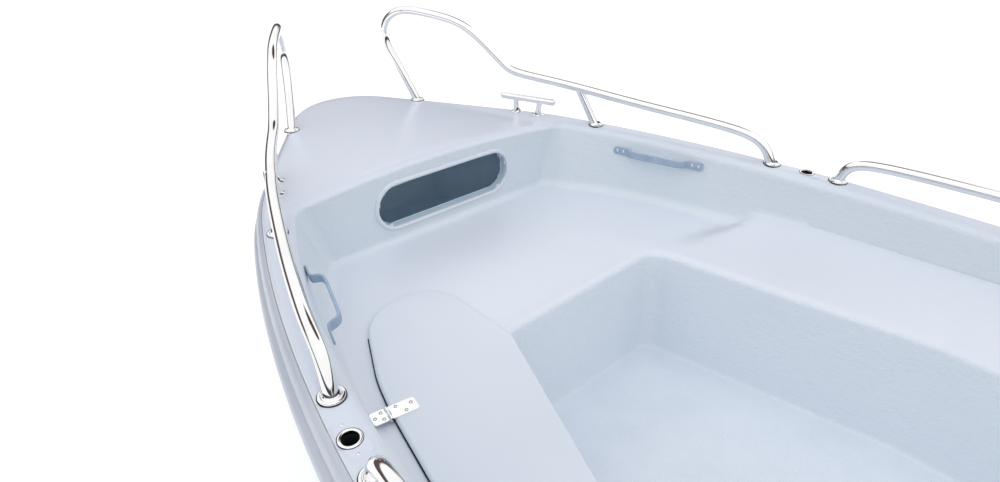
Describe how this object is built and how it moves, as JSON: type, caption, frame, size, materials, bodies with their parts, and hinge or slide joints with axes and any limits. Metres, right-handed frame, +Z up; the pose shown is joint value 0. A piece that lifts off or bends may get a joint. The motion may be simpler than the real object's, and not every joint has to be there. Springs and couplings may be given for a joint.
{
  "type": "small open motorboat with an outboard motor",
  "caption": "Small open fibreglass motorboat: crowned foredeck with a locker, footwell between benches, bow rails, hinged lids and a tilting outboard motor.",
  "frame": {"origin": "on the waterline amidships, on the boat's middle plane", "axes": "+X forward to the bow, +Y to port, +Z up"},
  "size_m": [5.0111, 1.8208, 1.4827],
  "materials": {
    "gelcoat": "pale cool grey-white gelcoat",
    "stainless": "polished stainless steel",
    "handle_plastic": "moulded grey-blue plastic",
    "black_plastic": "satin",
    "motor_paint": "satin dark grey",
    "cowl_paint": "gloss dark grey",
    "plain_steel": "plated",
    "engine_metal": "cast",
    "propeller_metal": "satin"
  },
  "bodies": {
    "boat": {"hull": "gelcoat", "deck_moulding": "gelcoat", "rub_strake": "gelcoat", "locker_frame": "gelcoat", "bench_hinge_leaves": "stainless", "stern_hinge_leaves": "stainless", "bow_rail_port": "stainless", "bow_rail_starboard": "stainless", "side_rail_port": "stainless", "side_rail_starboard": "stainless", "bow_cleat_port": "stainless", "bow_cleat_starboard": "stainless", "stern_cleat_port": "stainless", "stern_cleat_starboard": "stainless", "grab_handle_port": "handle_plastic", "grab_handle_starboard": "handle_plastic", "oarlock_socket_port": "stainless", "oarlock_socket_starboard": "stainless", "bow_eye": "stainless", "drain_plug": "stainless", "transom_pads": "black_plastic", "clamp_bracket": "motor_paint", "clamp_screws": "plain_steel"},
    "bench_lid": {"port_bench_lid": "gelcoat", "bench_lid_leaves": "stainless"},
    "stern_lid": {"stern_hatch": "gelcoat", "stern_lid_leaves": "stainless"},
    "tilt": {"swivel_bracket": "motor_paint"},
    "motor": {"drive_leg": "motor_paint", "motor_pan": "motor_paint", "motor_cowl": "cowl_paint", "powerhead": "engine_metal", "tiller": "black_plastic"},
    "screw": {"propeller": "propeller_metal"}
  },
  "joints": [
    {"name": "bench_lid_hinge", "type": "hinge", "parent": "boat", "child": "bench_lid", "pos_m": [0.839, 0.6302, 0.4208], "axis": [-0.9857, 0.1686, 0], "range_deg": [0, 80]},
    {"name": "stern_lid_hinge", "type": "hinge", "parent": "boat", "child": "stern_lid", "pos_m": [-1.489, 0, 0.4208], "axis": [0, 1, 0], "range_deg": [0, 85]},
    {"name": "motor_tilt", "type": "hinge", "parent": "boat", "child": "tilt", "pos_m": [-2.28, 0, 0.382], "axis": [0, 1, 0], "range_deg": [0, 65]},
    {"name": "motor_steer", "type": "hinge", "parent": "tilt", "child": "motor", "pos_m": [-2.352, 0, 0.3], "axis": [0, 0, 1], "range_deg": [-35, 35]},
    {"name": "propeller_spin", "type": "hinge", "parent": "motor", "child": "screw", "pos_m": [-2.55, 0, -0.33], "axis": [1, 0, 0], "continuous": true}
  ]
}
